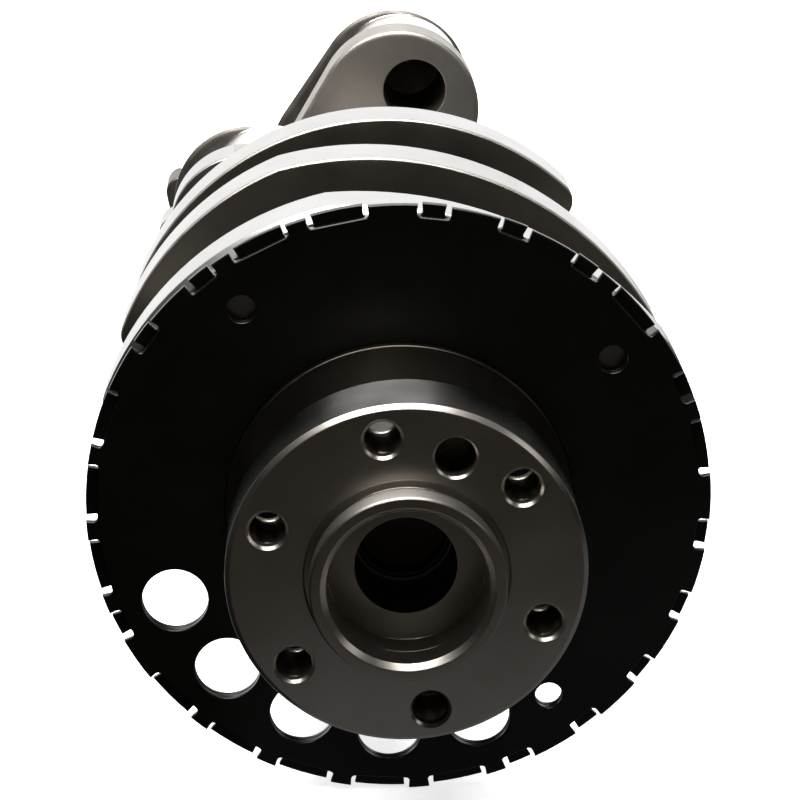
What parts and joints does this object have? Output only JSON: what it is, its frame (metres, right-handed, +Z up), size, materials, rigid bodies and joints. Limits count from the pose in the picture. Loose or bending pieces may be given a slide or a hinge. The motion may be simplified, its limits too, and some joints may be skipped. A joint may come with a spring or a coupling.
{
  "type": "engine crankshaft",
  "caption": "Cross-plane V8 crankshaft with rear flywheel flange, pilot hub, slotted black trigger ring, counterweighted webs and stepped nose.",
  "frame": {"origin": "centre of the flywheel bolting face, on the crank axis", "axes": "+Y along the crank axis from the flywheel flange to the nose, +Z up; throw 1, nearest the nose, is turned 23 degrees past straight up"},
  "size_m": [0.1784, 0.6114, 0.1784],
  "materials": {
    "machined_steel": "satin, milled faces with fine tool lines",
    "polished_steel": "ground and polished",
    "black_ring": "satin black"
  },
  "bodies": {
    "root": {"pilot_hub": "machined_steel", "rear_flange": "machined_steel", "bore_plug": "machined_steel", "main_journal_5": "polished_steel", "ring_seat": "machined_steel", "trigger_plate_rear": "black_ring", "trigger_plate_front": "black_ring", "web_8": "machined_steel", "crankpin_4": "polished_steel", "web_7": "machined_steel", "main_journal_4": "polished_steel", "web_6": "machined_steel", "crankpin_3": "polished_steel", "web_5": "machined_steel", "main_journal_3": "polished_steel", "web_4": "machined_steel", "crankpin_2": "polished_steel", "web_3": "machined_steel", "main_journal_2": "polished_steel", "web_2": "machined_steel", "crankpin_1": "polished_steel", "web_1": "machined_steel", "main_journal_1": "polished_steel", "sprocket_seat": "polished_steel", "nose": "polished_steel", "sprocket_key": "machined_steel"}
  },
  "joints": []
}
